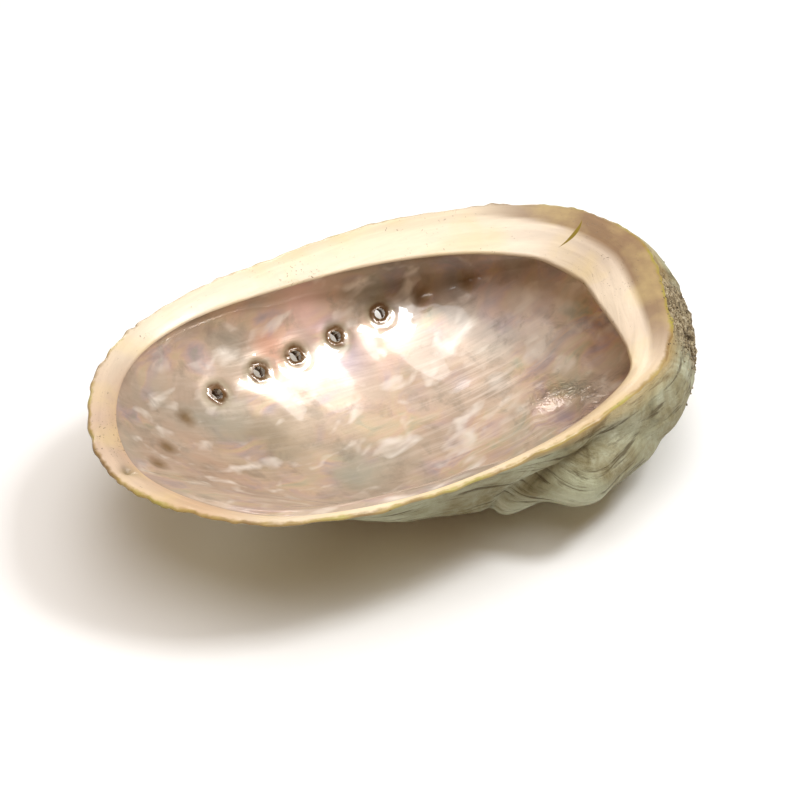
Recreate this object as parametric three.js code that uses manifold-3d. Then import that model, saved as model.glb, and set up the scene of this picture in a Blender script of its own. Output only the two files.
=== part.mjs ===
// An abalone shell lying mouth up, as one closed solid. Millimetres, +Z up.
// The surface is laid out on meridians: each runs from the lip down the outside to the apex
// of the low spire, and each has an inside partner that runs from the shelf to the same apex.
import * as THREE from 'three';
import { mergeVertices } from 'three/addons/utils/BufferGeometryUtils.js';
import Module from 'manifold-3d';

// ---- driving dimensions -------------------------------------------------------------------
const COLUMNS = 88;              // meridians round the lip
const OUTSIDE_ROWS = 24;         // steps from the apex up to the lip
const SHELF_ROWS = 5;            // steps across the lip and the flat inner shelf
const HOOK_ROWS = 4;             // steps round the undercut below the shelf edge
const INSIDE_ROWS = 12;          // steps down the bowl to the inner apex

const APEX = [21, -34.5, -26];   // tip of the spire, measured from the middle of the mouth
const WALL = 2.5;                // wall thickness of the bowl
const SPIRE_WALL = 2.4;          // how much thicker the wall gets at the spire
const SPIRE_REACH = 17;          // how far from the apex that thickening fades

// The lip, counter-clockwise from the rear end: x, y, z.
const LIP = [
  [73.5, 2, 0], [68, 21.5, 0], [51, 36, 0], [27, 45.3, 0.3], [0, 48.8, 0.5], [-29, 49.3, 0.3],
  [-50, 41.5, 0], [-64.5, 24, 0], [-69.5, 3, 0], [-62.5, -17, 0], [-47, -34, 0], [-19, -45.3, 0],
  [14, -48.2, 0], [42, -43.5, 0], [56, -34, 0], [68, -15, 0],
];

const LIP_BEAD = 0.55;           // how far the top of the lip is rounded up

// Values round the shell at eight bearings from its middle: rear end, then every 45 degrees
// through the far side (third), the front end (fifth) and the near side (seventh).
const LIP_SLOPE = [132, 110, 80, 60, 36, 34, 40, 120];   // degrees the outside falls, below level
const WALL_DROP = [32, 34, 33, 32, 34, 30, 20, 23];      // length of the wall before it turns in
const CROWN = [0.5, 0.46, 0.45, 0.45, 0.45, 0.45, 0.5, 0.6];  // length of the crown, of the whole
const SHELF_WIDTH = [18.2, 13.8, 9, 6, 6.5, 3, 2.8, 7];
const SHELF_FALL = [4.2, 3.6, 3, 2, 1.6, 0.2, 0.2, 2.4];
const UNDERCUT = [14.5, 10.5, 6, 1.5, 0.2, 0, 0, 4.5];
const HOOK_END = [0.27, 0.26, 0.22, 0.14, 0.1, 0.1, 0.14, 0.28];  // where the hook meets the wall

const CROWN_FALL = 28;           // degrees the surface falls from the apex toward the deepest part
const CROWN_BEARING = 92;        // bearing of the deepest part from the apex

const SUTURE_START = -10;        // bearing where the last whorl's lip leaves the spire
const SUTURE_RADIUS = 29;
const SUTURE_TIGHTNESS = 0.2;    // shrink per radian
const SUTURE_DEPTH = 1.3;
const SUTURE_WIDTH = 3;
const SUTURE_RUN_IN = 60;        // degrees over which it grows to its full size
const WHORL_BULGE = 5.6;         // how far the older whorl stands out below the suture
const WHORL_SWELL = 1.6;         // how much more it stands out under the near lip
const SWELL_TURN = 76;           // degrees back from the start of the suture
const SWELL_SPREAD = 38;

const PORES = [0.203, 0.238, 0.267, 0.292, 0.331];  // open pores, as parts of the way round
const PORE_RADIUS = 1.6;
const PORE_FLARE = 1.15;         // how much wider a pore is outside
const PORE_SIDES = 12;
const PORE_ROW = { middle: 0.2, half: 0.31, depth: 0.268 };  // an arch in (u, t)
const RIDGE_HEIGHT = 1.3;        // the row of pores sits on a low ridge outside
const RIDGE_WIDTH = 0.055;
const RIDGE_START = 0.2;         // the ridge fades out where the row is nearer the lip

const rad = Math.PI / 180;

// ---- curves -------------------------------------------------------------------------------
// Smooth closed interpolation of equally spaced values.
function around(values, place) {
  const n = values.length;
  const p = ((place % 1) + 1) % 1 * n;
  const i = Math.floor(p);
  const f = p - i;
  const [a, b, c, d] = [-1, 0, 1, 2].map((k) => values[(i + k + n) % n]);
  return b + 0.5 * f * (c - a + f * (2 * a - 5 * b + 4 * c - d + f * (3 * (b - c) + d - a)));
}

function lipPoint(u) {
  return [0, 1, 2].map((axis) => around(LIP.map((p) => p[axis]), u));
}

function compass(values, lip) {
  return around(values, Math.atan2(lip[1], lip[0]) / (2 * Math.PI));
}

function bezier(points, t) {
  const s = 1 - t;
  const w = [s * s * s, 3 * s * s * t, 3 * s * t * t, t * t * t];
  return points[0].map((_, k) => points.reduce((sum, p, i) => sum + w[i] * p[k], 0));
}

const add = (a, b, k = 1) => a.map((v, i) => v + k * b[i]);
const cross = (a, b) => [a[1] * b[2] - a[2] * b[1], a[2] * b[0] - a[0] * b[2],
  a[0] * b[1] - a[1] * b[0]];
const unit = (a) => a.map((v) => v / (Math.hypot(...a) || 1));

function inwardAt(u) {
  const along = unit(add(lipPoint(u + 1e-3), lipPoint(u - 1e-3), -1));
  return unit([-along[1], along[0], 0]);
}

// Plain outside surface: u round the lip, t from the lip (0) to the apex (1). Every meridian
// leaves the lip square to it and comes in to the apex straight.
function body(u, t) {
  const lip = lipPoint(u);
  const inward = inwardAt(u);
  const [dx, dy] = [lip[0] - APEX[0], lip[1] - APEX[1]];
  const reach = Math.hypot(dx, dy);
  const slope = compass(LIP_SLOPE, lip) * rad;
  const drop = compass(WALL_DROP, lip);
  const crown = compass(CROWN, lip) * reach;
  const fall = CROWN_FALL * rad * Math.cos(Math.atan2(dy, dx) - CROWN_BEARING * rad);
  const wall = add(add(lip, inward, drop * Math.cos(slope)), [0, 0, -drop], Math.sin(slope));
  const flat = crown * Math.cos(fall) / reach;
  const base = add(APEX, [dx * flat, dy * flat, -crown * Math.sin(fall)]);
  return bezier([lip, wall, base, APEX], t);
}

// Direction out of the shell.
function outward(u, t) {
  const tt = Math.min(t, 0.985);
  const along = add(body(u + 1e-4, tt), body(u - 1e-4, tt), -1);
  const down = add(body(u, tt + 1e-3), body(u, tt - 1e-3), -1);
  return unit(cross(down, along));
}

// The spire: the suture winds from the lip clockwise in toward the apex as a groove, and the
// older whorl stands out below it. Gives the height added to the plain surface.
function spire(point) {
  const d = Math.hypot(...add(point, APEX, -1));
  const bearing = Math.atan2(point[1] - APEX[1], point[0] - APEX[0]) / rad;
  const back = (((SUTURE_START - bearing) % 360) + 360) % 360;
  let height = 0;
  for (const turn of [back, back + 360]) {
    const size = Math.exp(-SUTURE_TIGHTNESS * turn * rad);
    const q = d / (SUTURE_RADIUS * size);
    const grown = size * Math.min(1, turn / SUTURE_RUN_IN);
    const swell = 1 + WHORL_SWELL * Math.exp(-(((turn - SWELL_TURN) / SWELL_SPREAD) ** 2));
    height -= SUTURE_DEPTH * grown * Math.exp(-((SUTURE_RADIUS * (q - 1) / SUTURE_WIDTH) ** 2));
    if (q < 1) height += WHORL_BULGE * grown * swell * q * (1 - q ** 6);
  }
  return height;
}

// Where the row of pores crosses meridian u, as a distance t from the lip.
function rowDepth(u) {
  const x = Math.abs(u - PORE_ROW.middle) / PORE_ROW.half;
  return x < 1 ? PORE_ROW.depth * Math.sqrt(1 - x ** 3) : 0;
}

function ridge(u, t) {
  const row = rowDepth(u);
  const strength = Math.min(1, row / RIDGE_START) * (u > PORE_ROW.middle ? 1 : row / PORE_ROW.depth);
  return RIDGE_HEIGHT * strength * Math.exp(-(((t - row) / RIDGE_WIDTH) ** 2));
}

function outside(u, t) {
  const p = body(u, t);
  return add(p, outward(u, t), spire(p) + ridge(u, t));
}

function inside(u, t) {
  const p = body(u, t);
  const d = Math.hypot(...add(p, APEX, -1));
  const wall = WALL + SPIRE_WALL * Math.exp(-((d / SPIRE_REACH) ** 2));
  return add(p, outward(u, t), -wall);
}

// Top of the lip and shelf: s from the outer edge (0) to the inner edge (1).
function shelf(u, s) {
  const lip = lipPoint(u);
  const inward = inwardAt(u);
  const width = compass(SHELF_WIDTH, lip);
  const bead = LIP_BEAD * Math.sin(Math.PI * Math.sqrt(s)) ** 0.7;
  return add(add(lip, inward, width * s), [0, 0, 1], bead - compass(SHELF_FALL, lip) * s * s);
}

// Undercut between the shelf edge (0) and the bowl (1).
function hook(u, s) {
  const lip = lipPoint(u);
  const edge = shelf(u, 1);
  const back = unit(add(lip, edge, -1));
  const t = compass(HOOK_END, lip);
  const foot = inside(u, t);
  const rise = unit(add(inside(u, t - 0.01), foot, -1));
  const gap = Math.hypot(...add(foot, edge, -1));
  const under = compass(UNDERCUT, lip);
  const plumb = Math.min(1, under / 4);
  const fall = unit(add(add([0, 0, 0], rise, plumb - 1), [0, 0, -1], plumb));
  const turn = add(add(edge, back, under), fall, 0.22 * gap);
  return bezier([edge, turn, add(foot, rise, 0.4 * gap), foot], s);
}

// ---- solid --------------------------------------------------------------------------------
// One closed section, apex outside to apex inside, without its two end points.
function section(u) {
  const points = [];
  const t0 = compass(HOOK_END, lipPoint(u));
  for (let i = 1; i <= OUTSIDE_ROWS; i++) points.push(outside(u, 1 - i / OUTSIDE_ROWS));
  for (let i = 1; i <= SHELF_ROWS; i++) points.push(shelf(u, i / SHELF_ROWS));
  for (let i = 1; i <= HOOK_ROWS; i++) points.push(hook(u, i / HOOK_ROWS));
  for (let i = 1; i < INSIDE_ROWS; i++) points.push(inside(u, t0 + (1 - t0) * i / INSIDE_ROWS));
  return points;
}

function mean(points) {
  return points.reduce((s, p) => add(s, p, 1 / points.length), [0, 0, 0]);
}

function shellSkin() {
  const sections = Array.from({ length: COLUMNS }, (_, c) => section(c / COLUMNS));
  const rows = sections[0].length;
  const start = mean(sections.map((s) => s[0]));
  const end = mean(sections.map((s) => s[rows - 1]));
  const vertices = [...sections.flat(), start, end].flat();
  const at = (c, r) => (c % COLUMNS) * rows + r;
  const faces = [];
  for (let c = 0; c < COLUMNS; c++) {
    faces.push(rows * COLUMNS, at(c + 1, 0), at(c, 0));
    faces.push(rows * COLUMNS + 1, at(c, rows - 1), at(c + 1, rows - 1));
    for (let r = 0; r + 1 < rows; r++) {
      faces.push(at(c, r), at(c + 1, r), at(c + 1, r + 1), at(c, r), at(c + 1, r + 1), at(c, r + 1));
    }
  }
  return { vertices, faces };
}

function solid(wasm, vertices, faces) {
  return new wasm.Manifold(new wasm.Mesh({
    numProp: 3, vertProperties: new Float32Array(vertices), triVerts: new Uint32Array(faces),
  }));
}

// A peg through the wall for one pore.
function porePeg(wasm, u) {
  const t = rowDepth(u);
  const axis = new THREE.Vector3(...outward(u, t));
  const peg = new THREE.CylinderGeometry(
    PORE_RADIUS * PORE_FLARE, PORE_RADIUS, 4 * WALL, PORE_SIDES);
  peg.applyQuaternion(new THREE.Quaternion().setFromUnitVectors(new THREE.Vector3(0, 1, 0), axis));
  peg.translate(...add(body(u, t), axis.toArray(), -WALL / 2));
  peg.deleteAttribute('normal');
  peg.deleteAttribute('uv');
  const merged = mergeVertices(peg);
  return solid(wasm, merged.attributes.position.array, merged.index.array);
}

async function shellGeometry() {
  const wasm = await Module();
  wasm.setup();
  const skin = shellSkin();
  let shell = solid(wasm, skin.vertices, skin.faces);
  for (const u of PORES) shell = shell.subtract(porePeg(wasm, u));
  const mesh = shell.getMesh();
  const geometry = new THREE.BufferGeometry();
  geometry.setAttribute('position', new THREE.BufferAttribute(mesh.vertProperties, 3));
  geometry.setIndex(new THREE.BufferAttribute(mesh.triVerts, 1));
  // The origin is on the ground, under the middle of the shell.
  geometry.computeBoundingBox();
  const { min, max } = geometry.boundingBox;
  geometry.translate(-(min.x + max.x) / 2, -(min.y + max.y) / 2, -min.z);
  geometry.computeVertexNormals();
  return geometry;
}

const shell = new THREE.Mesh(await shellGeometry(),
  new THREE.MeshStandardMaterial({ color: 0xe8d8c4, roughness: 0.35, metalness: 0 }));
shell.name = 'shell';

const root = new THREE.Group();
root.add(shell);
export default root;
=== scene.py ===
import math

import bpy
import numpy as np
from mathutils import Matrix, Vector


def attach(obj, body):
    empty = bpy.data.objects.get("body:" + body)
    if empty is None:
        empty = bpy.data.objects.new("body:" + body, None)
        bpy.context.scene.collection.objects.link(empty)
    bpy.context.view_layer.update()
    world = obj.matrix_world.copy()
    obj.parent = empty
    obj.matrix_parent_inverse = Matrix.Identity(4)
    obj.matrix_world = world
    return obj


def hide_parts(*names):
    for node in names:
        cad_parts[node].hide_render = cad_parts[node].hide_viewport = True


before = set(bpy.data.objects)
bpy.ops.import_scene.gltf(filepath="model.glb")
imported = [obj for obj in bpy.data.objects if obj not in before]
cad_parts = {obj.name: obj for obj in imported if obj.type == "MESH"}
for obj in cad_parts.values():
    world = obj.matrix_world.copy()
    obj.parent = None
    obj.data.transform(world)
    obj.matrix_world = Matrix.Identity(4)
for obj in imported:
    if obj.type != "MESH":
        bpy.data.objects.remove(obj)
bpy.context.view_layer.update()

# ---- the shell's surface -----------------------------------------------------------------
# An abalone grows one shell in a flat spiral: a wide bowl with a low spire under its near
# side, a row of breathing pores, and a broad shelf turned in round the mouth. It is one piece.
# Millimetres from the middle of the mouth; meridians run from the lip down to the apex.
APEX = np.array([21, -34.5, -26])
ORIGIN = np.array([5.011, -1.3655, -34.341])  # the ground under the shell's middle
WALL = 2.5
SPIRE_WALL, SPIRE_REACH = 2.4, 17  # the wall is thicker near the apex
CROWN_FALL, CROWN_BEARING = np.radians(28), np.radians(92)  # slope of the shell off the apex
OPEN_PORES = (0.203, 0.238, 0.267, 0.292, 0.331)   # parts of the way round
CLOSED_PORES = (0.139, 0.172, 0.378, 0.436, 0.472)
PORE_RADIUS = 1.6
ROW_MIDDLE, ROW_HALF, ROW_DEPTH = 0.2, 0.31, 0.268  # the arch on which the pores stand
RIDGE_HEIGHT, RIDGE_WIDTH = 1.3, 0.055
BEAD_HEIGHT = 0.55  # the lip's top is slightly rounded

# The suture starts at a bearing in degrees and shrinks by a part in each radian.
SUTURE_START, SUTURE_RADIUS, SUTURE_SHRINK = -10, 29, 0.2
SUTURE_DEPTH, SUTURE_WIDTH, SUTURE_RUN_IN = 1.6, 2.4, 60
WHORL_BULGE = 5.6
WHORL_SWELL, SWELL_TURN, SWELL_SPREAD = 1.6, 76, 38

# The lip, counter-clockwise from the rear end, then values at eight bearings round the shell:
# rear end, every 45 degrees through the far side, the front end and the near side.
LIP = np.array([
    (73.5, 2, 0), (68, 21.5, 0), (51, 36, 0), (27, 45.3, 0.3), (0, 48.8, 0.5), (-29, 49.3, 0.3),
    (-50, 41.5, 0), (-64.5, 24, 0), (-69.5, 3, 0), (-62.5, -17, 0), (-47, -34, 0),
    (-19, -45.3, 0), (14, -48.2, 0), (42, -43.5, 0), (56, -34, 0), (68, -15, 0)])
LIP_SLOPE = np.radians([132, 110, 80, 60, 36, 34, 40, 120])
WALL_DROP = np.array([32, 34, 33, 32, 34, 30, 20, 23.0])
CROWN = np.array([0.5, 0.46, 0.45, 0.45, 0.45, 0.45, 0.5, 0.6])
SHELF_WIDTH = np.array([18.2, 13.8, 9, 6, 6.5, 3, 2.8, 7])
SHELF_FALL = np.array([4.2, 3.6, 3, 2, 1.6, 0.2, 0.2, 2.4])
UNDERCUT = np.array([14.5, 10.5, 6, 1.5, 0.2, 0, 0, 4.5])
HOOK_END = np.array([0.27, 0.26, 0.22, 0.14, 0.1, 0.1, 0.14, 0.28])


def around(values, place):
    """Smooth closed interpolation of equally spaced values."""
    n = len(values)
    p = np.mod(place, 1) * n
    i = np.floor(p).astype(int)
    f = p - i
    a, b, c, d = (values[(i + k) % n] for k in (-1, 0, 1, 2))
    if values.ndim > 1:
        f = f[..., None]
    return b + 0.5 * f * (c - a + f * (2 * a - 5 * b + 4 * c - d + f * (3 * (b - c) + d - a)))


def compass(values, lip):
    """The value at a point's bearing round the shell."""
    return around(values, np.arctan2(lip[..., 1], lip[..., 0]) / (2 * np.pi))


def unit(v):
    return v / np.maximum(np.linalg.norm(v, axis=-1, keepdims=True), 1e-12)


def blend(points, t):
    """A cubic Bezier curve."""
    t = t[..., None]
    s = 1 - t
    a, b, c, d = points
    return s ** 3 * a + 3 * s * s * t * b + 3 * s * t * t * c + t ** 3 * d


def inward_at(u):
    """The level direction at right angles to the lip, into the shell."""
    along = unit(around(LIP, u + 1e-3) - around(LIP, u - 1e-3))
    return np.stack([-along[..., 1], along[..., 0], 0 * u], -1)


def body(u, t):
    """The plain outside: u round the lip, t from the lip (0) to the apex (1)."""
    lip = around(LIP, u)
    to_lip = (lip - APEX) * (1, 1, 0)
    reach = np.linalg.norm(to_lip, axis=-1)
    slope = compass(LIP_SLOPE, lip)[..., None]
    drop = compass(WALL_DROP, lip)[..., None]
    crown = compass(CROWN, lip)
    bearing = np.arctan2(to_lip[..., 1], to_lip[..., 0])
    fall = CROWN_FALL * np.cos(bearing - CROWN_BEARING)
    wall = lip + inward_at(u) * drop * np.cos(slope) - np.array([0, 0, 1]) * drop * np.sin(slope)
    base = APEX + to_lip * (crown * np.cos(fall))[..., None]
    base[..., 2] -= crown * reach * np.sin(fall)
    return blend((lip, wall, base, APEX), t)


def outward(u, t):
    """The direction out of the plain outside."""
    t = np.minimum(t, 0.985)
    along = body(u + 1e-4, t) - body(u - 1e-4, t)
    down = body(u, t + 1e-3) - body(u, t - 1e-3)
    return unit(np.cross(down, along))


def spire(point):
    """The suture, a groove that winds in to the apex, with the older whorl standing out below."""
    d = np.linalg.norm(point - APEX, axis=-1)
    bearing = np.degrees(np.arctan2(point[..., 1] - APEX[1], point[..., 0] - APEX[0]))
    back = np.mod(SUTURE_START - bearing, 360)
    height = 0 * d
    for turn in (back, back + 360):
        size = np.exp(-SUTURE_SHRINK * np.radians(turn))
        q = d / (SUTURE_RADIUS * size)
        grown = size * np.minimum(1, turn / SUTURE_RUN_IN)
        swell = 1 + WHORL_SWELL * np.exp(-(((turn - SWELL_TURN) / SWELL_SPREAD) ** 2))
        groove = np.exp(-((SUTURE_RADIUS * (q - 1) / SUTURE_WIDTH) ** 2))
        height -= SUTURE_DEPTH * grown * groove
        height += WHORL_BULGE * grown * swell * q * np.maximum(0, 1 - q ** 6)
    return height


def row_depth(u):
    """Where the row of pores crosses a meridian."""
    x = np.abs(np.mod(u, 1) - ROW_MIDDLE) / ROW_HALF
    return ROW_DEPTH * np.sqrt(np.maximum(0, 1 - x ** 3))


def ridge(u, t):
    """The low ridge that carries the pores outside. It fades out toward the lip."""
    row = row_depth(u)
    strength = np.minimum(1, row / 0.2)
    strength = strength * np.where(np.mod(u, 1) > ROW_MIDDLE, 1, row / ROW_DEPTH)
    return RIDGE_HEIGHT * strength * np.exp(-(((t - row) / RIDGE_WIDTH) ** 2))


def outside(u, t):
    """The real outside, with its whorl and ridge."""
    p = body(u, t)
    return p + outward(u, t) * (spire(p) + ridge(u, t))[..., None]


def inside(u, t):
    """The bowl, one wall in from the plain outside."""
    p = body(u, t)
    d = np.linalg.norm(p - APEX, axis=-1)
    wall = WALL + SPIRE_WALL * np.exp(-((d / SPIRE_REACH) ** 2))
    return p - outward(u, t) * wall[..., None]


def shelf(u, s):
    """The top of the lip and of the flat inner shelf: s from the outer edge (0) inward (1)."""
    lip = around(LIP, u)
    bead = BEAD_HEIGHT * np.maximum(0, np.sin(np.pi * np.sqrt(s))) ** 0.7
    top = lip + inward_at(u) * (compass(SHELF_WIDTH, lip) * s)[..., None]
    top[..., 2] += bead - compass(SHELF_FALL, lip) * s * s
    return top


def hook(u, s):
    """The undercut between the shelf's edge (0) and the bowl (1)."""
    lip = around(LIP, u)
    edge = shelf(u, np.ones_like(u))
    back = unit(lip - edge)
    t = compass(HOOK_END, lip)
    foot = inside(u, t)
    rise = unit(inside(u, t - 0.01) - foot)
    gap = np.linalg.norm(foot - edge, axis=-1, keepdims=True)
    under = compass(UNDERCUT, lip)[..., None]
    plumb = np.minimum(1, under / 4)
    fall = unit(rise * (plumb - 1) - np.array([0, 0, 1]) * plumb)
    turn = edge + back * under + fall * 0.22 * gap
    return blend((edge, turn, foot + rise * 0.4 * gap, foot), s)


# ---- mesh of the shell -----------------------------------------------------------------------
# The mesh is finer than the solid, and each face knows which layer of the shell it is.
COLUMNS = 460
WALL_ROWS = 18
BOWL_ROWS = 78
SHELF_ROWS = 15
HOOK_ROWS = 10
PERIOSTRACUM, PORCELAIN, NACRE = 0, 1, 2

# Meridians stand closer where the pores are.
fine = np.linspace(0, 1, 4001)
density = 1 + np.exp(-(((fine - 0.27) / 0.08) ** 4))
total = np.concatenate([[0], np.cumsum((density[1:] + density[:-1]) / 2)])
columns = np.interp(np.arange(COLUMNS) / COLUMNS, total / total[-1], fine)

end = compass(HOOK_END, around(LIP, columns))
bowl = (np.arange(BOWL_ROWS) / BOWL_ROWS) ** 1.5
bowl_t = end[:, None] + (1 - end[:, None]) * bowl
wall_t = end[:, None] * np.arange(WALL_ROWS) / WALL_ROWS
outer_t = np.concatenate([wall_t, bowl_t], 1)[:, ::-1]
shelf_s = np.tile(np.arange(1, SHELF_ROWS + 1) / SHELF_ROWS, (COLUMNS, 1))
hook_s = np.tile(np.arange(1, HOOK_ROWS) / HOOK_ROWS, (COLUMNS, 1))


def spread(values):
    """Each meridian's own u, once for each value."""
    return np.repeat(columns[:, None], values.shape[1], 1)


rows = np.concatenate([
    outside(spread(outer_t), outer_t), shelf(spread(shelf_s), shelf_s),
    hook(spread(hook_s), hook_s), inside(spread(bowl_t), bowl_t)], 1)
depth = np.concatenate([outer_t, 0 * shelf_s, end[:, None] * hook_s, bowl_t], 1)
across = np.concatenate([0 * outer_t, shelf_s, 1 + 0 * hook_s, 1 + 0 * bowl_t], 1)
n_outer, n_shelf = outer_t.shape[1], SHELF_ROWS
n_rows = rows.shape[1]
inner_start = n_rows - BOWL_ROWS

layer_of_row = np.full(n_rows - 1, NACRE)
layer_of_row[:n_outer - 1] = PERIOSTRACUM
layer_of_row[n_outer - 1:n_outer + n_shelf - 1] = PORCELAIN

# Growth and wear, as heights in millimetres: a ragged lip, raised rims round the pores in a
# shallow groove, and a small cup with rough ridges where the spire opens into the bowl.
X, Y = (rows - ORIGIN)[..., 0], (rows - ORIGIN)[..., 1]
row_number = np.arange(n_rows)[None]
is_outside = row_number < n_outer
is_bowl = row_number >= n_outer + n_shelf
NOTCH = (-70.5, 4.3)  # a slit in the front end
CUP, CUP_RADIUS, CUP_RIM = (34.5, -11.5), 5, 6.8
SCAR = (58, 7)  # where the muscle was fixed
CRUST_MIDDLE, CRUST_REACH = (68, -26, -6), 14
FAR = 99.0  # stands for no pore near
rng = np.random.default_rng(11)


def spot(x, y, radius):
    """1 at a place on the ground plan, in millimetres, and fading out round it."""
    return np.exp(-((X - x) ** 2 + (Y - y) ** 2) / radius ** 2)


def wander(count):
    """Smooth random values round the lip, from -1 to 1 or so."""
    return around(rng.uniform(-1, 1, count), columns)[:, None]


def pore_at(place):
    """A pore's own u and t."""
    return np.array([place]), row_depth(np.array([place]))


def nearest(places):
    """How far each point is from the axis of the nearest pore, if that is within the wall."""
    distance = np.full(rows.shape[:2], FAR)
    for place in places:
        away = rows - body(*pore_at(place))[0]
        axis = outward(*pore_at(place))[0]
        high = away @ axis
        from_axis = np.linalg.norm(away - high[..., None] * axis, axis=-1)
        distance = np.where(np.abs(high) < WALL * 2, np.minimum(distance, from_axis), distance)
    return distance


width = compass(SHELF_WIDTH, around(LIP, columns))[:, None]
edge = np.where(is_outside, 0, np.minimum(across, 1) * width)
near_edge = np.where(is_outside, np.exp(-depth / 0.012), np.exp(-(edge / 1.1) ** 2)) * (across < 1)
ragged = 0.25 * wander(43) + 0.2 * wander(97) + 0.25 * wander(230)
lip_out = -inward_at(spread(depth)) * (near_edge * ragged)[..., None]
lip_out[..., 2] += near_edge * (0.25 * wander(60) + 0.2 * wander(230))
pore = nearest(OPEN_PORES)
closed = nearest(CLOSED_PORES)
row_t = row_depth(spread(depth))
groove = 0.35 * np.exp(-(((depth - row_t) / 0.035) ** 2)) * (row_t > 0.1)
rims = 0.22 * np.exp(-((pore - 3.2) / 1.5) ** 2) - 0.35 * np.exp(-(closed / 1.5) ** 2)
rims = rims + 0.12 * np.exp(-((closed - 3.0) / 1.3) ** 2)
cup = np.hypot(X - CUP[0], Y - CUP[1])
cup_relief = 0.5 * np.exp(-((cup - CUP_RIM) / 1.6) ** 2) - 0.9 * np.exp(-(cup / CUP_RADIUS) ** 4)
outer_relief = 0.5 * np.exp(-((pore - 2.6) / 1.0) ** 2) - 1.2 * spot(*NOTCH, 1.3) * (across > 0)
raised = np.where(is_bowl, rims - groove + cup_relief, outer_relief)
crackle = np.clip(spot(*SCAR, 12) + 0.5 * spot(48, -2, 12), 0, 1) * is_bowl
silvery = np.exp(-((cup - 8.5) / 3.2) ** 2) * np.clip(0.4 + (X - 32) / 12, 0.15, 1) * is_bowl
lined = np.clip(0.2 + 1.0 * spot(27, 1, 21), 0, 1)
from_crust = np.linalg.norm(rows - CRUST_MIDDLE, axis=-1)
crusty = np.exp(-(from_crust / CRUST_REACH) ** 2) * is_outside
bearing = np.degrees(np.arctan2(rows[..., 1], rows[..., 0]))
rear_reach = 0.5 - 0.28 * np.clip((bearing - 8) / 35, 0, 1) ** 1.5
rear_band = np.exp(-((bearing + 2) / 33) ** 6) * np.clip((rear_reach - across) / 0.06, 0, 1)
flat = (rows + lip_out).reshape(-1, 3)

# Each pore: the cells inside its circle go, and the edge that is left is pulled onto the circle.
hole = np.zeros((COLUMNS, BOWL_ROWS), bool)
middle = body(spread(bowl_t), bowl_t)
for place in OPEN_PORES:
    hole |= np.linalg.norm(middle - body(*pore_at(place))[0], axis=-1) < PORE_RADIUS

cell_gone = hole | np.roll(hole, -1, 0)
cell_gone = cell_gone[:, :-1] | cell_gone[:, 1:]
faces, layers = [], []


def vertex(c, r):
    return (c % COLUMNS) * n_rows + r


def outer_row(r):
    return BOWL_ROWS - 1 - r


for c in range(COLUMNS):
    for r in range(n_rows - 1):
        if r < BOWL_ROWS - 1 and cell_gone[c, outer_row(r) - 1]:
            continue
        if r >= inner_start and cell_gone[c, r - inner_start]:
            continue
        faces.append((vertex(c, r), vertex(c + 1, r), vertex(c + 1, r + 1), vertex(c, r + 1)))
        layers.append(layer_of_row[r])
first, last = len(flat), len(flat) + 1
flat = np.vstack([flat, rows[:, 0].mean(0), rows[:, -1].mean(0)])
for c in range(COLUMNS):
    faces.append((first, vertex(c + 1, 0), vertex(c, 0)))
    faces.append((last, vertex(c, n_rows - 1), vertex(c + 1, n_rows - 1)))
    layers += [PERIOSTRACUM, NACRE]

# The walls of the pores join the two surfaces along the edges of the missing cells.
edge_points = set()
for c, r in zip(*np.nonzero(cell_gone)):
    sides = (((c, r), (c + 1, r), (c, r - 1)), ((c + 1, r + 1), (c, r + 1), (c, r + 1)),
             ((c, r + 1), (c, r), (c - 1, r)), ((c + 1, r), (c + 1, r + 1), (c + 1, r)))
    for a, b, neighbour in sides:
        if cell_gone[neighbour[0] % COLUMNS, neighbour[1]]:
            continue
        faces.append((vertex(a[0], outer_row(a[1])), vertex(b[0], outer_row(b[1])),
                      vertex(b[0], inner_start + b[1]), vertex(a[0], inner_start + a[1])))
        layers.append(NACRE)
        edge_points |= {(a[0] % COLUMNS, a[1]), (b[0] % COLUMNS, b[1])}
for c, r in edge_points:
    place = min(OPEN_PORES, key=lambda p: abs(p - columns[c]))
    away = middle[c, r] - body(*pore_at(place))[0]
    pull = away * (PORE_RADIUS / np.linalg.norm(away) - 1)
    flat[vertex(c, outer_row(r))] += pull
    flat[vertex(c, inner_start + r)] += pull

# Used points only, in metres from the shell's own origin.
used = np.unique(np.concatenate([np.array(f) for f in faces]))
number = np.full(len(flat), -1)
number[used] = np.arange(len(used))
mesh = bpy.data.meshes.new("shell_fine")
mesh.from_pydata(((flat - ORIGIN) / 1000)[used], [], [tuple(number[list(f)]) for f in faces])
mesh.polygons.foreach_set("use_smooth", np.ones(len(faces), bool))


def linear(code):
    """An sRGB hex colour as linear RGBA."""
    parts = [int(code[i:i + 2], 16) / 255 for i in (0, 2, 4)]
    return [c / 12.92 if c <= 0.04045 else ((c + 0.055) / 1.055) ** 2.4 for c in parts] + [1.0]


def painted(base, patches):
    """A base colour with soft patches over it: x, y and radius in millimetres, colour, strength."""
    result = np.tile(np.array(linear(base)), rows.shape[:2] + (1,))
    for x, y, radius, code, strength in patches:
        amount = (strength * spot(x, y, radius))[..., None]
        result = result * (1 - amount) + np.array(linear(code)) * amount
    return result


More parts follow.
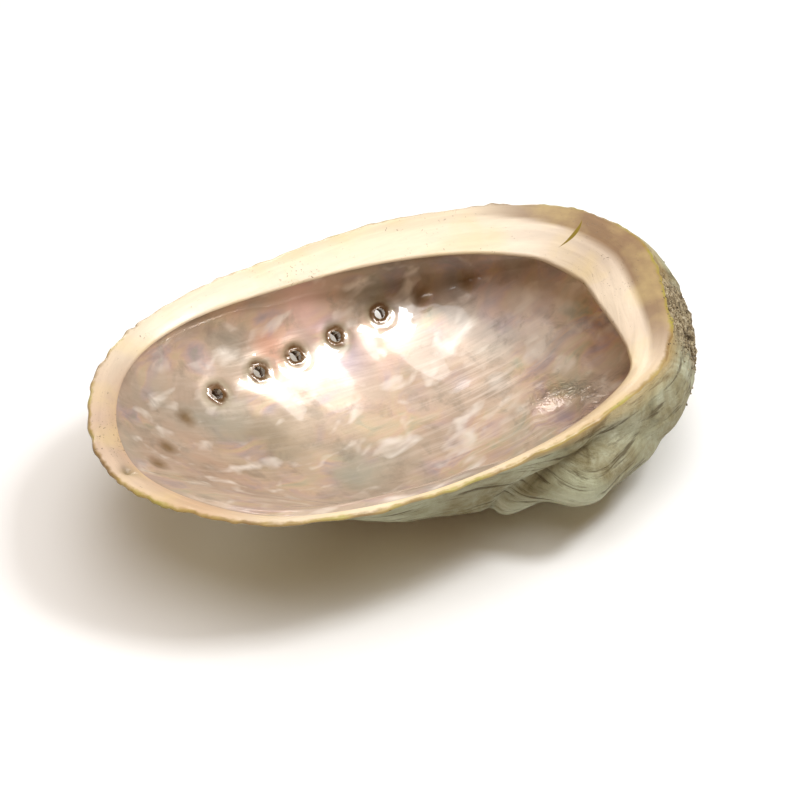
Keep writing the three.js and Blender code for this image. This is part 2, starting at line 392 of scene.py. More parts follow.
# The nacre is beige at the front, greener in the middle and greyer at the rear, with pink and peach
# by the pores and a brown line where the muscle was fixed. Some patches are painted light and
# shade: grey under the far side of the shelf is painted shade, near-white beside the pores is a
# painted reflection of the soft box, and the pale muscle scar is brightened with painted light
# against the shelf's shade.
bowl_colour_and_painted_light = painted("c6b19c", (
    (-45, 8, 20, "bb9e86", 0.8), (-28, 20, 11, "a89a80", 0.75), (-36, 13, 7, "b0a486", 0.5),
    (-15, 5, 16, "c4b096", 0.6), (-14, 40, 7, "e0a88c", 0.8), (-3, 42, 6, "e8c0b4", 0.8),
    (9, 35, 8, "d8ac8c", 0.7), (2, 33, 6, "a89aa6", 0.8), (22, 5, 18, "d2baa4", 0.6),
    # (57, 8), (62, -2), (44, 8) and (66, 6): the muscle scar's pale colour, made brighter as
    # painted light against the shade under the shelf.
    (40, -8, 14, "d0baa6", 0.6), (57, 8, 14, "ecede0", 0.95), (62, -2, 9, "e8dcd8", 0.85),
    # (22, 43), (38, 38) and (52, 30): painted shade under the far side of the shelf.
    (44, 8, 8, "d8cab4", 0.6), (22, 43, 8, "80766f", 0.85), (38, 38, 6, "7a7472", 0.85),
    (52, 30, 6, "807a76", 0.85), (30, 38, 3, "94704a", 0.7), (41, 35, 2.5, "94704a", 0.6),
    (47, 31.5, 2.5, "8a6642", 0.8), (53, 28, 3, "94704a", 0.7), (59, 23, 3, "94704a", 0.7),
    (65, 17, 4, "8a7258", 0.8), (66, 6, 5, "dccab4", 0.6), (34.5, -11.5, 5, "b592a2", 0.85),
    # (43, 24.5), (54, 19) and (34, 27): a painted reflection of the soft box.
    (-17, 0, 6, "b4b09a", 0.5), (43, 24.5, 8, "faf0e8", 0.95), (54, 19, 7, "f8ece4", 0.95),
    (34, 27, 5, "f0dccc", 0.7)))
# The lip is cream, pinker at the front, and tan on the outer part of its rear end. A darker patch
# on the rear shelf is painted shade, and a near-black spot at the front end is painted shade in the
# slit there.
lip_colour_and_painted_shade = painted("eadac0", (
    (-62, 18, 26, "c4a892", 0.95), (-30, 42, 20, "f2e4ca", 0.8), (10, 45, 30, "eedcbc", 0.7),
    # (58, 4): painted shade on the rear shelf; (-70, 4.3): painted shade in the slit at the front
    # end.
    (60, 25, 16, "e2d2c0", 0.8), (58, 4, 9, "ab967c", 0.8), (-70, 4.3, 2.0, "241a12", 0.95),
    (68, 0, 18, "dccab8", 0.8), (52, -28, 16, "e4d2be", 0.9),
    (-20, -44, 35, "eedab6", 0.9), (-62, -14, 16, "cba884", 0.9), (24, -46, 22, "c9ab80", 0.7)))
band = rear_band[..., None]
lip_colour_and_painted_shade = lip_colour_and_painted_shade * (1 - 0.85 * band) + np.array(linear("7d5c36")) * 0.85 * band
soft_edge = (np.clip((across - 0.6) / 0.4, 0, 1) * spot(-66, 12, 30))[..., None]
lip_colour_and_painted_shade = lip_colour_and_painted_shade * (1 - soft_edge) + np.array(linear("c2a48a")) * soft_edge
tint_and_painted_light = np.where(is_bowl[..., None], bowl_colour_and_painted_light, lip_colour_and_painted_shade)
pitted = np.clip(spot(-62, 14, 14) + 0.8 * spot(-5, 44, 6) + 0.6 * spot(64, 14, 9)
                 + 0.5 * spot(36, 45, 12) + 0.5 * spot(58, -6, 12), 0, 1) * (across > 0)


def keep(name, values, tips):
    """Stores a value at every point, and at the tips of the outside and the bowl."""
    held = np.concatenate([values.ravel(), tips])[used].astype(np.float32)
    mesh.attributes.new(name, "FLOAT", "POINT").data.foreach_set("value", held)


for name, values, tips in (
        ("depth", depth, (1, 1)), ("edge", edge, (0, 9)), ("across", across, (0, 1)),
        ("pore", pore, (FAR, FAR)), ("closed", closed, (FAR, FAR)), ("raised", raised, (0, 0)),
        ("crackle", crackle, (0, 0)), ("crusty", crusty, (0, 0)), ("pitted", pitted, (0, 0)),
        ("lined", lined, (0, 0)), ("silvery", silvery, (0, 0))):
    keep(name, values, tips)
tip_tint = np.array([linear("b79f88")] * 2)
mesh.attributes.new("tint_and_painted_light", "FLOAT_COLOR", "POINT").data.foreach_set(
    "color", np.concatenate([tint_and_painted_light.reshape(-1, 4), tip_tint])[used].ravel().astype(np.float32))
mesh.attributes.new("layer", "INT", "FACE").data.foreach_set("value", np.array(layers, np.int32))
mesh.validate()
shell = bpy.data.objects.new("shell_fine", mesh)
bpy.context.scene.collection.objects.link(shell)


# ---- what the shell is made of -------------------------------------------------------------
# Three layers show: pearly nacre in the bowl, smooth porcelain-like lime on the lip, and the
# horny, weathered skin outside.
def add(tree, kind, inputs=None, stops=None, **settings):
    """Adds a node. An input is a value, a socket, or a node whose first live output is meant."""
    node = tree.nodes.new(kind)
    for key, value in settings.items():
        setattr(node, key, value)
    for key, value in (inputs or {}).items():
        socket = node.inputs[key] if isinstance(key, int) else next(
            s for s in node.inputs if s.enabled and s.name == key)
        if isinstance(value, bpy.types.Node):
            value = next(s for s in value.outputs if s.enabled)
        if isinstance(value, bpy.types.NodeSocket):
            tree.links.new(value, socket)
        else:
            socket.default_value = linear(value) if socket.type == "RGBA" else value
    if stops:
        while len(node.color_ramp.elements) < len(stops):
            node.color_ramp.elements.new(0.5)
        for element, (place, code) in zip(node.color_ramp.elements, stops):
            element.position = place
            element.color = linear(code)
    return node


def layer_material(name):
    made = bpy.data.materials.new(name)
    made.use_nodes = True
    made.node_tree.nodes.clear()
    return made, made.node_tree


# Nacre: thin plates of aragonite laid down wet. It has a clear, glassy top over soft colour that
# shifts from pink to green, and fine parallel growth lines.
nacre, tree = layer_material("nacre")
where = add(tree, "ShaderNodeTexCoord").outputs["Object"]
tinted_with_painted_light = add(tree, "ShaderNodeAttribute", attribute_name="tint_and_painted_light").outputs["Color"]
crackle_here = add(tree, "ShaderNodeAttribute", attribute_name="crackle").outputs["Fac"]
clouds = add(tree, "ShaderNodeTexNoise", {
    "Vector": where, "Scale": 70.0, "Detail": 4.0, "Roughness": 0.55, "Distortion": 0.8})
shade = add(tree, "ShaderNodeMapRange", {
    "Value": clouds, "From Min": 0.3, "From Max": 0.7, "To Min": 0.78, "To Max": 1.16})
base = add(tree, "ShaderNodeVectorMath", {0: tinted_with_painted_light, "Scale": shade}, operation="SCALE")
cool = add(tree, "ShaderNodeTexNoise", {"Vector": where, "Scale": 55.0, "Detail": 3.0, "W": 3.0},
           noise_dimensions="4D")
cool = add(tree, "ShaderNodeMapRange", {
    "Value": cool, "From Min": 0.5, "From Max": 0.68, "To Min": 0.0, "To Max": 0.55})
base = add(tree, "ShaderNodeMix", {"Factor": cool, "A": base, "B": "a4a698"}, data_type="RGBA")
# The play of colour, in patches 5 to 8 mm across, is strongest where the surface is crumpled.
pulled = add(tree, "ShaderNodeMapping", {
    "Vector": where, "Rotation": (0, 0, math.radians(12)), "Scale": (1.8, 1, 1)},
    vector_type="TEXTURE")
play = add(tree, "ShaderNodeTexNoise", {
    "Vector": pulled, "Scale": 105.0, "Detail": 3.0, "Roughness": 0.6, "Distortion": 1.0})
rainbow = add(tree, "ShaderNodeValToRGB", {"Fac": play}, stops=(
    (0.28, "7f9088"), (0.40, "aa96b0"), (0.50, "dcb09c"), (0.60, "e8cc98"), (0.70, "90ac94")))
rainbow.color_ramp.interpolation = "B_SPLINE"
where_play = add(tree, "ShaderNodeTexNoise", {"Vector": where, "Scale": 85.0, "Detail": 2.0})
spots = add(tree, "ShaderNodeMapRange", {
    "Value": where_play, "From Min": 0.47, "From Max": 0.64, "To Min": 0.0, "To Max": 0.45})
spots = add(tree, "ShaderNodeMath", {0: crackle_here, 1: 0.5, 2: spots}, operation="MULTIPLY_ADD",
            use_clamp=True)
base = add(tree, "ShaderNodeMix", {"Factor": spots, "A": base, "B": rainbow}, data_type="RGBA")
# Painted glints: bright spots 2 to 4 mm across, painted highlights on clean plate, crowd together
# in the muscle scar.
painted_glints = add(tree, "ShaderNodeTexNoise", {
    "Vector": pulled, "Scale": 190.0, "Detail": 2.0, "Roughness": 0.5, "Distortion": 0.3})
painted_glints = add(tree, "ShaderNodeMath", {0: crackle_here, 1: 0.09, 2: painted_glints},
             operation="MULTIPLY_ADD")
painted_glints = add(tree, "ShaderNodeMapRange", {
    "Value": painted_glints, "From Min": 0.57, "From Max": 0.74, "To Min": 0.0, "To Max": 0.7})
base = add(tree, "ShaderNodeMix", {"Factor": painted_glints, "A": base, "B": "faf2e6"},
           data_type="RGBA")
shadows = add(tree, "ShaderNodeTexNoise", {
    "Vector": where, "Scale": 150.0, "Detail": 4.0, "Roughness": 0.6, "Distortion": 0.4})
shadows = add(tree, "ShaderNodeMapRange", {
    "Value": shadows, "From Min": 0.46, "From Max": 0.32, "To Min": 0.0, "To Max": 0.45})
base = add(tree, "ShaderNodeMix", {"Factor": shadows, "A": base, "B": "8c8070"},
           data_type="RGBA")
# Growth lines about 0.6 mm apart run along the shell.
laid = add(tree, "ShaderNodeMapping", {
    "Vector": where, "Rotation": (0, 0, math.radians(-4)), "Scale": (16, 1, 3)},
    vector_type="TEXTURE")
lines = add(tree, "ShaderNodeTexNoise", {
    "Vector": laid, "Scale": 800.0, "Detail": 3.0, "Roughness": 0.6})
light_lines = add(tree, "ShaderNodeMapRange", {
    "Value": lines, "From Min": 0.48, "From Max": 0.66, "To Min": 0.0, "To Max": 0.5})
lined_here = add(tree, "ShaderNodeAttribute", attribute_name="lined").outputs["Fac"]
light_lines = add(tree, "ShaderNodeMath", {0: light_lines, 1: lined_here}, operation="MULTIPLY")
base = add(tree, "ShaderNodeMix", {"Factor": light_lines, "A": base, "B": "f2e2d2"},
           data_type="RGBA")
# The pores wear pale rings and brown stains, and their walls are painted pale, as painted light
# standing for the floor seen through the holes.
pore_here = add(tree, "ShaderNodeAttribute", attribute_name="pore").outputs["Fac"]
closed_here = add(tree, "ShaderNodeAttribute", attribute_name="closed").outputs["Fac"]
dirt = add(tree, "ShaderNodeTexNoise", {"Vector": where, "Scale": 420.0, "Detail": 3.0})
for distance, reach, solid_at, code, amount in (
        (pore_here, 4.8, 3.0, "94876a", 0.75), (closed_here, 3.4, 1.0, "7c6038", 0.8),
        (pore_here, 3.1, 2.4, "6a4822", 0.9)):
    wavy = add(tree, "ShaderNodeMath", {0: dirt, 1: 1.6, 2: distance}, operation="MULTIPLY_ADD")
    stain = add(tree, "ShaderNodeMapRange", {
        "Value": wavy, "From Min": reach + 0.8, "From Max": solid_at + 0.8,
        "To Min": 0.0, "To Max": amount})
    base = add(tree, "ShaderNodeMix", {"Factor": stain, "A": base, "B": code}, data_type="RGBA")
# Painted light: the walls of the open pores are made pale.
painted_light_in_pore = add(tree, "ShaderNodeMath", {0: pore_here, 1: PORE_RADIUS + 0.12},
              operation="LESS_THAN")
base = add(tree, "ShaderNodeMix", {"Factor": painted_light_in_pore, "A": base, "B": "e8dccb"},
           data_type="RGBA")
# Round the cup the pearl is crumpled finely and glitters.
silvery_here = add(tree, "ShaderNodeAttribute", attribute_name="silvery").outputs["Fac"]
silver = add(tree, "ShaderNodeTexNoise", {
    "Vector": where, "Scale": 420.0, "Detail": 2.0, "Roughness": 0.6, "Distortion": 0.8})
fine_height = add(tree, "ShaderNodeMath", {0: silver, 1: silvery_here}, operation="MULTIPLY")
normal = add(tree, "ShaderNodeBump", {"Height": lines, "Distance": 0.00012, "Strength": 0.5})
normal = add(tree, "ShaderNodeBump", {
    "Height": fine_height, "Distance": 0.0025, "Strength": 0.9, "Normal": normal})
coat_normal = add(tree, "ShaderNodeBump", {
    "Height": fine_height, "Distance": 0.0020, "Strength": 0.8})
pearl = add(tree, "ShaderNodeBsdfPrincipled", {
    "Base Color": base, "Metallic": 0.2, "Roughness": 0.36, "IOR": 1.53, "Normal": normal,
    "Coat Weight": 1.0, "Coat Roughness": 0.05, "Coat IOR": 1.53, "Coat Normal": coat_normal})
add(tree, "ShaderNodeOutputMaterial", {"Surface": pearl})

# Porcelain layer: dense, waxy lime, worn smooth. Faint streaks follow the lip, with pits, an
# old mended crack, and a yellow-brown line where the horny skin wraps over the edge.
porcelain, tree = layer_material("shell porcelain")
where = add(tree, "ShaderNodeTexCoord").outputs["Object"]
tinted_with_painted_light = add(tree, "ShaderNodeAttribute", attribute_name="tint_and_painted_light").outputs["Color"]
edge_here = add(tree, "ShaderNodeAttribute", attribute_name="edge").outputs["Fac"]
in_metres = add(tree, "ShaderNodeMath", {0: edge_here, 1: 0.001}, operation="MULTIPLY")
stretched = add(tree, "ShaderNodeVectorMath", {0: where, 1: (0.12, 0.12, 0)},
                operation="MULTIPLY")
from_edge = add(tree, "ShaderNodeCombineXYZ", {"Z": in_metres})
streak_place = add(tree, "ShaderNodeVectorMath", {0: stretched, 1: from_edge}, operation="ADD")
streaks = add(tree, "ShaderNodeTexNoise", {
    "Vector": streak_place, "Scale": 420.0, "Detail": 4.0, "Roughness": 0.6, "Distortion": 0.4})
shade = add(tree, "ShaderNodeMapRange", {
    "Value": streaks, "From Min": 0.3, "From Max": 0.7, "To Min": 0.88, "To Max": 1.09})
base = add(tree, "ShaderNodeVectorMath", {0: tinted_with_painted_light, "Scale": shade}, operation="SCALE")
clouds = add(tree, "ShaderNodeTexNoise", {"Vector": where, "Scale": 90.0, "Detail": 4.0})
warm = add(tree, "ShaderNodeMapRange", {
    "Value": clouds, "From Min": 0.45, "From Max": 0.68, "To Min": 0.0, "To Max": 0.35})
base = add(tree, "ShaderNodeMix", {"Factor": warm, "A": base, "B": "e6cf8e"}, data_type="RGBA")
grain = add(tree, "ShaderNodeTexNoise", {"Vector": where, "Scale": 520.0, "Detail": 3.0})
rim_place = add(tree, "ShaderNodeMath", {0: grain, 1: 1.6, 2: edge_here}, operation="MULTIPLY_ADD")
rim = add(tree, "ShaderNodeMapRange", {
    "Value": rim_place, "From Min": 1.9, "From Max": 1.1, "To Min": 0.0, "To Max": 0.85})
rim_colour = add(tree, "ShaderNodeValToRGB", {"Fac": clouds}, stops=(
    (0.38, "8a6c34"), (0.5, "a88e46"), (0.62, "a39a3a")))
base = add(tree, "ShaderNodeMix", {"Factor": rim, "A": base, "B": rim_colour}, data_type="RGBA")
pitted_here = add(tree, "ShaderNodeAttribute", attribute_name="pitted").outputs["Fac"]
fleck = add(tree, "ShaderNodeTexNoise", {
    "Vector": where, "Scale": 1100.0, "Detail": 2.0, "Distortion": 1.5})
fleck = add(tree, "ShaderNodeMath", {0: pitted_here, 1: 0.12, 2: fleck}, operation="MULTIPLY_ADD")
pits = add(tree, "ShaderNodeMapRange", {
    "Value": fleck, "From Min": 0.72, "From Max": 0.78, "To Min": 0.0, "To Max": 0.7})
base = add(tree, "ShaderNodeMix", {"Factor": pits, "A": base, "B": "6b5438"}, data_type="RGBA")
# The crack is part of a 10 mm circle.
ground = add(tree, "ShaderNodeVectorMath", {0: where, 1: (1, 1, 0)}, operation="MULTIPLY")
from_centre = add(tree, "ShaderNodeVectorMath", {0: ground, 1: (0.0546, 0.0239, 0)},
                  operation="DISTANCE").outputs["Value"]
off_arc = add(tree, "ShaderNodeMath", {0: from_centre, 1: 0.0103}, operation="SUBTRACT")
off_arc = add(tree, "ShaderNodeMath", {0: off_arc}, operation="ABSOLUTE")
from_middle = add(tree, "ShaderNodeVectorMath", {0: ground, 1: (0.0577, 0.0141, 0)},
                  operation="DISTANCE").outputs["Value"]
thin_ends = add(tree, "ShaderNodeMapRange", {
    "Value": from_middle, "From Min": 0.001, "From Max": 0.005, "To Min": 0.0005, "To Max": 0.0})
crack = add(tree, "ShaderNodeMath", {0: off_arc, 1: thin_ends}, operation="LESS_THAN")
base = add(tree, "ShaderNodeMix", {"Factor": crack, "A": base, "B": "84701e"}, data_type="RGBA")
dents = add(tree, "ShaderNodeMath", {0: pits, 1: -0.5, 2: streaks}, operation="MULTIPLY_ADD")
normal = add(tree, "ShaderNodeBump", {"Height": dents, "Distance": 0.0004, "Strength": 0.5})
normal = add(tree, "ShaderNodeBump", {
    "Height": grain, "Distance": 0.0002, "Strength": 0.3, "Normal": normal})
waxy = add(tree, "ShaderNodeBsdfPrincipled", {
    "Base Color": base, "Roughness": 0.38, "IOR": 1.53, "Normal": normal,
    "Coat Weight": 0.15, "Coat Roughness": 0.15})
add(tree, "ShaderNodeOutputMaterial", {"Surface": waxy})

# Periostracum: the horny outer skin, sage and olive, bleached in patches and worn through to
# chalky white, with dark creases between its growth lines.
periostracum, tree = layer_material("weathered periostracum")
where = add(tree, "ShaderNodeTexCoord").outputs["Object"]
depth_here = add(tree, "ShaderNodeAttribute", attribute_name="depth").outputs["Fac"]
crusty_here = add(tree, "ShaderNodeAttribute", attribute_name="crusty").outputs["Fac"]
patches = add(tree, "ShaderNodeTexNoise", {
    "Vector": where, "Scale": 75.0, "Detail": 6.0, "Roughness": 0.65, "Distortion": 0.9})
base = add(tree, "ShaderNodeValToRGB", {"Fac": patches}, stops=(
    (0.30, "62583a"), (0.42, "8a8260"), (0.52, "9f9c80"), (0.62, "b3b398"), (0.74, "ccccb8")))
bloom = add(tree, "ShaderNodeTexNoise", {"Vector": where, "Scale": 48.0, "Detail": 5.0})
bloom = add(tree, "ShaderNodeMapRange", {
    "Value": bloom, "From Min": 0.48, "From Max": 0.66, "To Min": 0.0, "To Max": 0.55})
base = add(tree, "ShaderNodeMix", {"Factor": bloom, "A": base, "B": "c4ccb0"}, data_type="RGBA")
# Creases follow the growth lines, which are 1 to 2 mm apart.
ground = add(tree, "ShaderNodeVectorMath", {0: where, 1: (0.15, 0.15, 0.15)},
             operation="MULTIPLY")
down = add(tree, "ShaderNodeMath", {0: depth_here, 1: 0.06}, operation="MULTIPLY")
down = add(tree, "ShaderNodeCombineXYZ", {"Z": down})
laid = add(tree, "ShaderNodeVectorMath", {0: ground, 1: down}, operation="ADD")
creases = add(tree, "ShaderNodeTexNoise", {
    "Vector": laid, "Scale": 520.0, "Detail": 4.0, "Roughness": 0.65, "Distortion": 0.5})
dark_lines = add(tree, "ShaderNodeMapRange", {
    "Value": creases, "From Min": 0.46, "From Max": 0.36, "To Min": 0.0, "To Max": 0.8})
base = add(tree, "ShaderNodeMix", {"Factor": dark_lines, "A": base, "B": "4e4228"},
           data_type="RGBA")
lip_band = add(tree, "ShaderNodeMapRange", {
    "Value": depth_here, "From Min": 0.06, "From Max": 0.0, "To Min": 0.0, "To Max": 0.75})
lip_band = add(tree, "ShaderNodeMath", {0: lip_band, 1: creases}, operation="MULTIPLY")
lip_band = add(tree, "ShaderNodeMath", {0: lip_band, 1: 1.7}, operation="MULTIPLY", use_clamp=True)
base = add(tree, "ShaderNodeMix", {"Factor": lip_band, "A": base, "B": "b0925c"},
           data_type="RGBA")
grit = add(tree, "ShaderNodeTexNoise", {
    "Vector": where, "Scale": 900.0, "Detail": 4.0, "Roughness": 0.7})
grit_colour = add(tree, "ShaderNodeValToRGB", {"Fac": grit}, stops=(
    (0.36, "30261a"), (0.47, "7c6c50"), (0.56, "a8987a"), (0.66, "c6bea4")))
crust_amount = add(tree, "ShaderNodeMapRange", {
    "Value": crusty_here, "From Min": 0.25, "From Max": 0.6, "To Min": 0.0, "To Max": 0.9})
base = add(tree, "ShaderNodeMix", {"Factor": crust_amount, "A": base, "B": grit_colour},
           data_type="RGBA")
normal = add(tree, "ShaderNodeBump", {"Height": creases, "Distance": 0.0014, "Strength": 0.7})
normal = add(tree, "ShaderNodeBump", {
    "Height": grit, "Distance": 0.0005, "Strength": 0.6, "Normal": normal})
horn = add(tree, "ShaderNodeBsdfPrincipled", {
    "Base Color": base, "Roughness": 0.72, "IOR": 1.5, "Specular IOR Level": 0.35,
    "Normal": normal})
add(tree, "ShaderNodeOutputMaterial", {"Surface": horn})
skins = {PERIOSTRACUM: periostracum, PORCELAIN: porcelain, NACRE: nacre}


# ---- growth relief on the shell ----------------------------------------------------------------
# Growth leaves uneven ribs and lumps outside and slow ripples in the pearl. The node tree moves
# the surface along its own normal and then gives each layer its material.
def tree_inputs(tree, values):
    """Gives a tree its named inputs and its output, and returns the inputs' sockets."""
    tree.interface.new_socket("Geometry", in_out="INPUT", socket_type="NodeSocketGeometry")
    for name, value in values.items():
        kind = "NodeSocketInt" if isinstance(value, int) else "NodeSocketFloat"
        tree.interface.new_socket(name, in_out="INPUT", socket_type=kind).default_value = value
    tree.interface.new_socket("Geometry", in_out="OUTPUT", socket_type="NodeSocketGeometry")
    return add(tree, "NodeGroupInput").outputs


relief = bpy.data.node_groups.new("growth relief", "GeometryNodeTree")
given = tree_inputs(relief, {
    "Rib Height": 0.00035, "Rib Depth Scale": 0.06, "Lump Height": 0.0009,
    "Ripple Height": 0.0005, "Crackle Height": 0.0013, "Crust Height": 0.0022})
here = add(relief, "GeometryNodeInputPosition")
held = {name: add(relief, "GeometryNodeInputNamedAttribute", {"Name": name}, data_type="FLOAT")
        for name in ("depth", "across", "pore", "raised", "crackle", "crusty")}
down = add(relief, "ShaderNodeMath", {0: held["depth"], 1: given["Rib Depth Scale"]},
           operation="MULTIPLY")
down = add(relief, "ShaderNodeCombineXYZ", {"Z": down})
squeezed = add(relief, "ShaderNodeVectorMath", {0: here, 1: (0.15, 0.15, 0.15)},
               operation="MULTIPLY")
laid = add(relief, "ShaderNodeVectorMath", {0: squeezed, 1: down}, operation="ADD")
heights = {"skin": 0.0, "pearl": 0.0}
for surface, scale, detail, distortion, strength, place, part in (
        ("skin", 520.0, 2.0, 0.0, "Rib Height", laid, None),
        ("skin", 70.0, 3.0, 0.0, "Lump Height", here, None),
        ("skin", 420.0, 3.0, 0.0, "Crust Height", here, "crusty"),
        ("pearl", 48.0, 1.0, 0.6, "Ripple Height", here, None),
        ("pearl", 135.0, 1.0, 0.6, "Crackle Height", here, "crackle")):
    wave = add(relief, "ShaderNodeTexNoise", {
        "Vector": place, "Scale": scale, "Detail": detail, "Distortion": distortion})
    wave = add(relief, "ShaderNodeMath", {0: wave, 1: 0.5}, operation="SUBTRACT")
    wave = add(relief, "ShaderNodeMath", {0: wave, 1: given[strength]}, operation="MULTIPLY")
    wave = add(relief, "ShaderNodeMath", {0: wave, 1: 2.0}, operation="MULTIPLY")
    if part:
        wave = add(relief, "ShaderNodeMath", {0: wave, 1: held[part]}, operation="MULTIPLY")
    heights[surface] = add(relief, "ShaderNodeMath", {0: wave, 1: heights[surface]},
                           operation="ADD")
in_bowl = add(relief, "FunctionNodeCompare", {"A": held["across"], "B": 0.5},
              operation="GREATER_THAN")
height = add(relief, "GeometryNodeSwitch", {
    "Switch": in_bowl, "False": heights["skin"], "True": heights["pearl"]},
    input_type="FLOAT")
fade = add(relief, "ShaderNodeMapRange", {
    "Value": held["depth"], "From Min": 0.0, "From Max": 0.05})
from_pore = add(relief, "ShaderNodeMapRange", {
    "Value": held["pore"], "From Min": 1.8, "From Max": 3.2})
height = add(relief, "ShaderNodeMath", {0: height, 1: fade}, operation="MULTIPLY")
height = add(relief, "ShaderNodeMath", {0: height, 1: from_pore}, operation="MULTIPLY")
height = add(relief, "ShaderNodeMath", {0: held["raised"], 1: 0.001, 2: height},
             operation="MULTIPLY_ADD")
shift = add(relief, "ShaderNodeVectorMath", {
    0: add(relief, "GeometryNodeInputNormal"), "Scale": height}, operation="SCALE")
made = add(relief, "GeometryNodeSetPosition", {"Geometry": given["Geometry"], "Offset": shift})
made = add(relief, "GeometryNodeRealizeInstances", {"Geometry": made})
for layer, skin in skins.items():
    held_layer = add(relief, "GeometryNodeInputNamedAttribute", {"Name": "layer"},
                     data_type="INT")
    chosen = add(relief, "FunctionNodeCompare", {"A": held_layer, "B": layer},
                 data_type="INT", operation="EQUAL")
    made = add(relief, "GeometryNodeSetMaterial", {
        "Geometry": made, "Selection": chosen, "Material": skin})
add(relief, "NodeGroupOutput", {"Geometry": made})


def grown(tree, name):
    """The mesh that a node tree makes from the shell, as a piece of its own."""
    modifier = shell.modifiers.new(name, "NODES")
    modifier.node_group = tree
    ready = shell.evaluated_get(bpy.context.evaluated_depsgraph_get())
    made = bpy.data.objects.new(name, bpy.data.meshes.new_from_object(ready))
    made.data.name = name
    shell.modifiers.remove(modifier)
    bpy.context.scene.collection.objects.link(made)
    return made


shell_skin = grown(relief, "shell_skin")
for point in shell_skin.data.vertices:
    point.co.z = max(point.co.z, 0)  # the lumps it rests on are worn flat
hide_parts("shell")
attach(shell_skin, "root")


# ---- crust on the rear end ---------------------------------------------------------------------
# Sand and worm tubes have set hard on the rear end. They are loose grains of grey-brown lime,
# half sunk in the skin, and each has only a few faces.
crust_grain, tree = layer_material("set sand")
where = add(tree, "ShaderNodeTexCoord").outputs["Object"]
mottle = add(tree, "ShaderNodeTexNoise", {"Vector": where, "Scale": 600.0, "Detail": 3.0})
base = add(tree, "ShaderNodeValToRGB", {"Fac": mottle}, stops=(
    (0.35, "463a28"), (0.5, "8c7c60"), (0.65, "b8ac8e")))
rough = add(tree, "ShaderNodeBsdfPrincipled", {
    "Base Color": base, "Roughness": 0.85, "Specular IOR Level": 0.2})
add(tree, "ShaderNodeOutputMaterial", {"Surface": rough})

crust = bpy.data.node_groups.new("crust grains", "GeometryNodeTree")
given = tree_inputs(crust, {"Density": 2.6e6, "Grain Radius": 0.00028, "Seed": 4})
thick = add(crust, "GeometryNodeInputNamedAttribute", {"Name": "crusty"}, data_type="FLOAT")
thick = add(crust, "ShaderNodeMath", {0: thick, 1: 2.0}, operation="POWER")
thick = add(crust, "ShaderNodeMath", {0: thick, 1: given["Density"]}, operation="MULTIPLY")
points = add(crust, "GeometryNodeDistributePointsOnFaces", {
    "Mesh": given["Geometry"], "Density": thick, "Seed": given["Seed"]})
grain = add(crust, "GeometryNodeMeshIcoSphere", {
    "Radius": given["Grain Radius"], "Subdivisions": 1})
turn = add(crust, "FunctionNodeRandomValue", {
    "Min": (0, 0, 0), "Max": (6.28, 6.28, 6.28), "Seed": given["Seed"]}, data_type="FLOAT_VECTOR")
size = add(crust, "FunctionNodeRandomValue", {
    "Min": (0.5, 0.5, 0.4), "Max": (1.5, 1.3, 0.9), "Seed": given["Seed"]},
    data_type="FLOAT_VECTOR")
made = add(crust, "GeometryNodeInstanceOnPoints", {
    "Points": points, "Instance": grain, "Rotation": turn, "Scale": size})
made = add(crust, "GeometryNodeRealizeInstances", {"Geometry": made})
made = add(crust, "GeometryNodeSetMaterial", {"Geometry": made, "Material": crust_grain})
add(crust, "NodeGroupOutput", {"Geometry": made})

crust_piece = grown(crust, "crust")
bpy.data.objects.remove(shell)
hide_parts("shell")
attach(crust_piece, "root")


# ---- floor, light and camera -------------------------------------------------------------------
# A plain pale floor, a broad soft box overhead, a small key light and two weak warm fills.
floor_skin, tree = layer_material("floor")
matt = add(tree, "ShaderNodeBsdfPrincipled", {
    "Base Color": "f8f8f8", "Roughness": 0.7, "Specular IOR Level": 0.2})
add(tree, "ShaderNodeOutputMaterial", {"Surface": matt})
bpy.ops.mesh.primitive_plane_add(size=8)
floor = bpy.context.object
floor.name = "floor"
floor.data.materials.append(floor_skin)

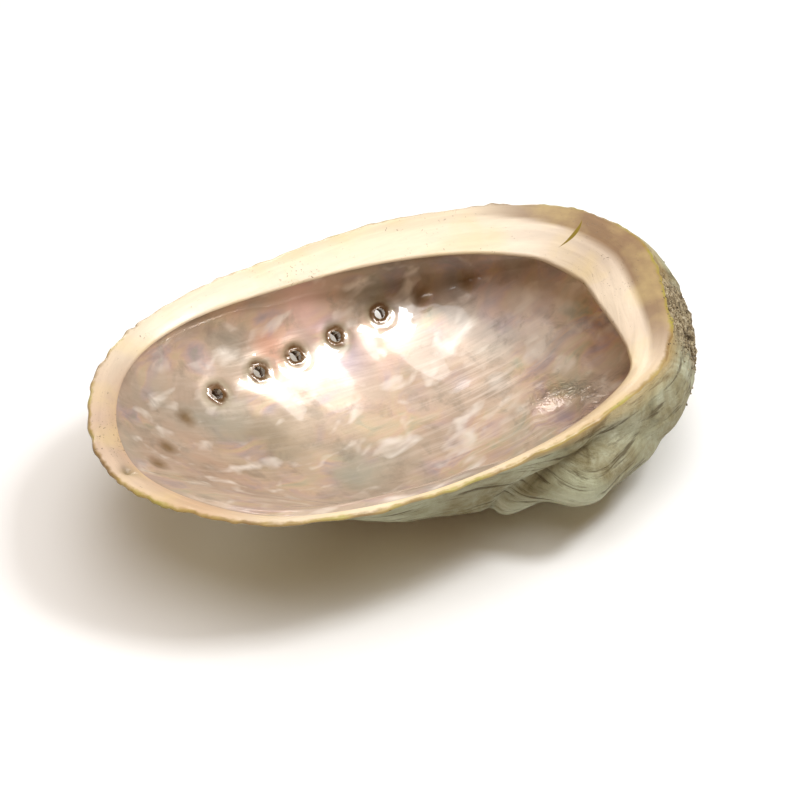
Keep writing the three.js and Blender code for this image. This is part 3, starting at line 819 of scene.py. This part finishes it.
for name, place, wide, high, power, colour in (
        ("soft box", (0.04, -0.1, 0.9), 0.95, 0.7, 7.2, (0.97, 0.985, 1)),
        ("key", (0.42, -0.3, 0.8), 0.2, 0.2, 4.5, (0.97, 0.985, 1)),
        ("left fill", (-0.9, -0.1, 0.42), 0.4, 0.3, 1.2, (1, 0.74, 0.46)),
        ("back light", (0.2, 0.9, 0.3), 0.4, 0.3, 2.2, (1, 0.95, 0.85))):
    lamp = bpy.data.lights.new(name, "AREA")
    lamp.shape = "RECTANGLE"
    lamp.size, lamp.size_y = wide, high
    lamp.energy = power
    lamp.color = colour
    stand = bpy.data.objects.new(name, lamp)
    stand.location = place
    stand.rotation_euler = (-Vector(place)).to_track_quat("-Z", "Y").to_euler()
    bpy.context.scene.collection.objects.link(stand)

world = bpy.data.worlds.new("studio")
world.use_nodes = True
world.node_tree.nodes["Background"].inputs["Color"].default_value = (1, 0.56, 0.24, 1)
world.node_tree.nodes["Background"].inputs["Strength"].default_value = 0.15
bpy.context.scene.world = world

# The camera looks down at the near side, with the front end of the shell a little closer.
ELEVATION, AZIMUTH, ROLL = math.radians(40), math.radians(-30), math.radians(-5)
DISTANCE, LENS = 0.6, 118.2
OFF_RIGHT, OFF_DOWN = 0.00343, 0.0091  # where the middle of the view is, from the mouth's
back = Vector((math.sin(AZIMUTH) * math.cos(ELEVATION), -math.cos(AZIMUTH) * math.cos(ELEVATION),
               math.sin(ELEVATION)))
level = Vector((math.cos(AZIMUTH), math.sin(AZIMUTH), 0))
upright = back.cross(level)
right = math.cos(ROLL) * level + math.sin(ROLL) * upright
above = math.cos(ROLL) * upright - math.sin(ROLL) * level
mouth = Vector(-ORIGIN / 1000)
camera_data = bpy.data.cameras.new("camera")
camera_data.lens = LENS
camera = bpy.data.objects.new("camera", camera_data)
eye = mouth + back * DISTANCE + right * OFF_RIGHT - above * OFF_DOWN
camera.matrix_world = Matrix.Translation(eye) @ Matrix((right, above, back)).transposed().to_4x4()
bpy.context.scene.collection.objects.link(camera)
bpy.context.scene.camera = camera
bpy.context.scene.view_settings.view_transform = "Standard"

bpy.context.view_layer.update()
